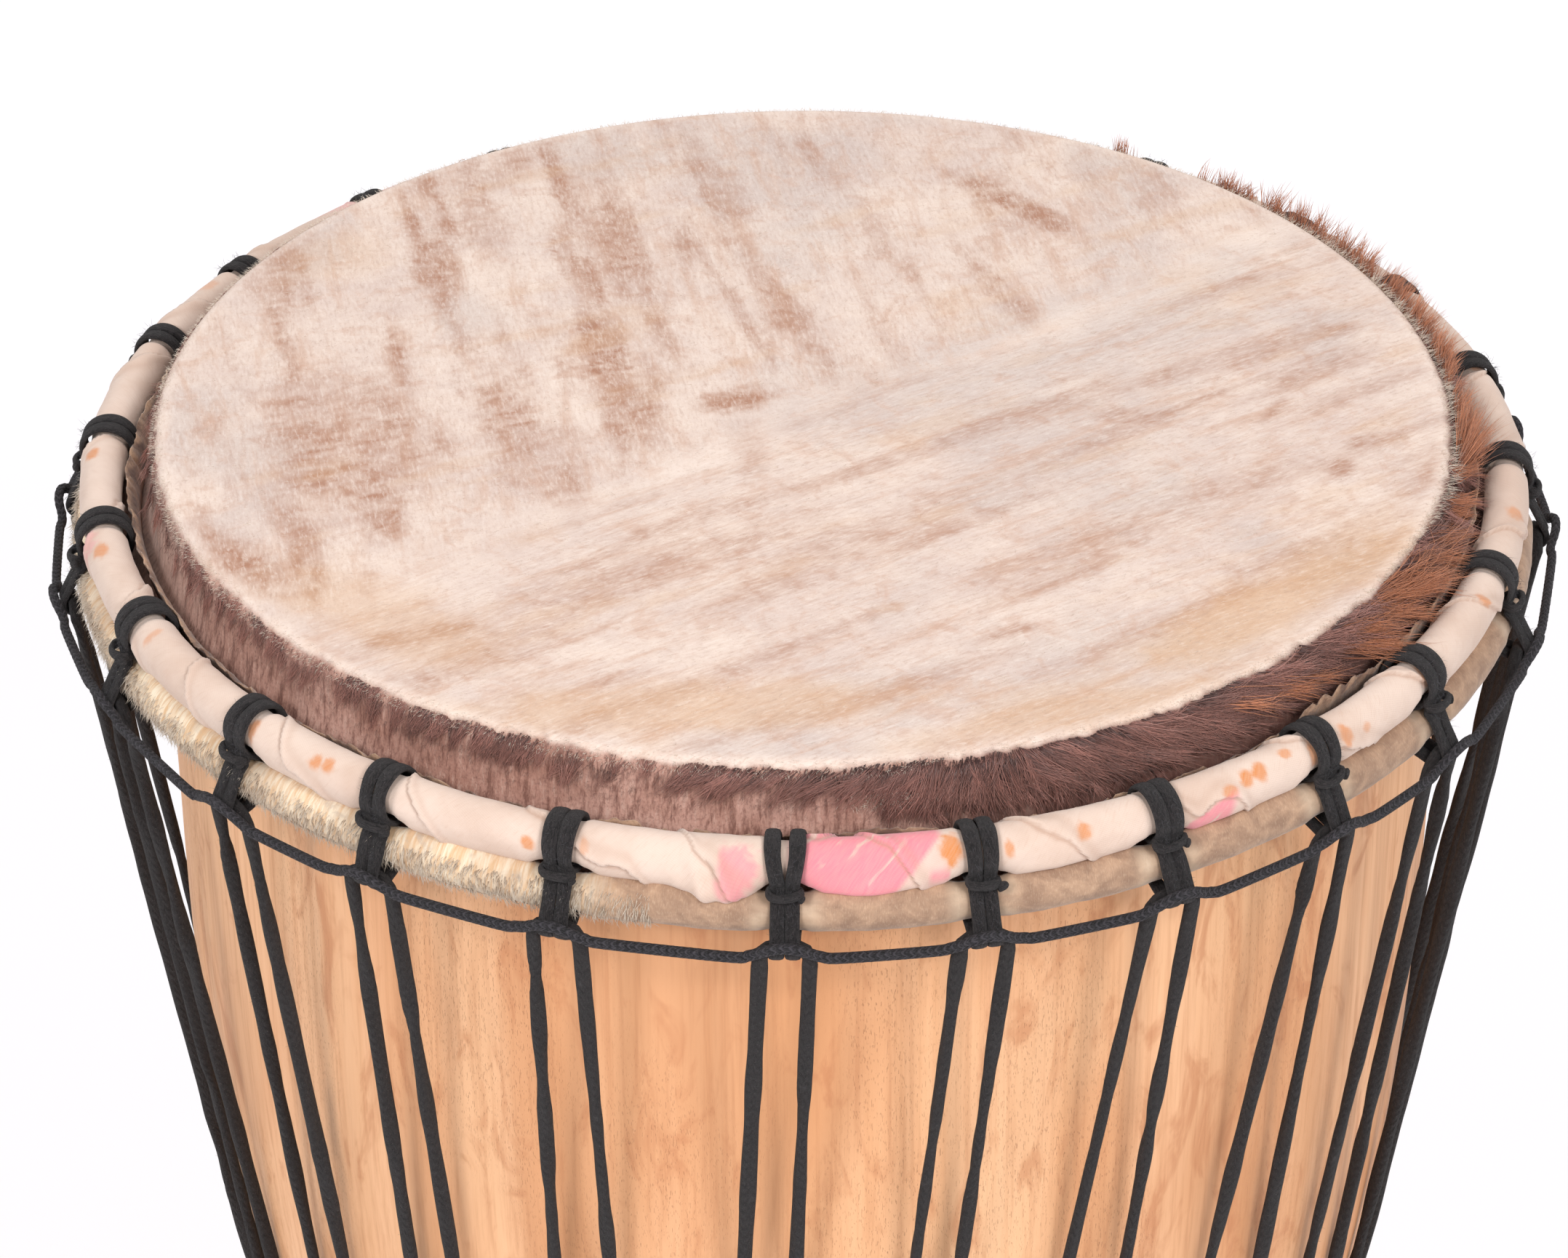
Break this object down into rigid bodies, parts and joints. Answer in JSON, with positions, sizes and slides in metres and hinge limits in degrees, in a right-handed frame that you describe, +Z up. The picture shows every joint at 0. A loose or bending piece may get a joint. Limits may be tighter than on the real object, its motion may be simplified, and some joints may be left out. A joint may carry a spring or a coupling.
{
  "type": "djembe",
  "caption": "Goblet-shaped hand drum: hollow carved shell, goat-skin head gripped by stacked rings, and rope lacing to a ring under the bowl.",
  "frame": {"origin": "centre of the foot's lower face, on the drum's axis", "axes": "+Z up along the drum's axis, to the playing surface; -Y is the drum's front, +X is to the right as seen from the front"},
  "size_m": [0.3875, 0.3876, 0.62],
  "materials": {
    "wood": "light orange-tan hardwood, thinly oiled, fine upright grain",
    "goat_skin": "dry goat skin with mottled tan and taupe patches, hair left on the collar",
    "steel_rod": "bare mild-steel rod, dull",
    "cotton_strip": "wound strip of cream cotton, with faded pink and orange-brown print",
    "black_rope": "black braided rope, slightly fuzzy, matte",
    "black_cord": "thin black braided cord, matte"
  },
  "bodies": {
    "root": {"shell": "wood", "head_skin": "goat_skin", "flesh_ring": "steel_rod", "crown_ring": "steel_rod", "crown_ring_cloth": "cotton_strip", "upper_loops": "black_rope", "running_cord": "black_cord", "lacing_rope": "black_rope", "lower_loops": "black_rope", "bottom_ring": "steel_rod", "bottom_ring_cloth": "cotton_strip", "rope_knot": "black_rope"}
  },
  "joints": []
}
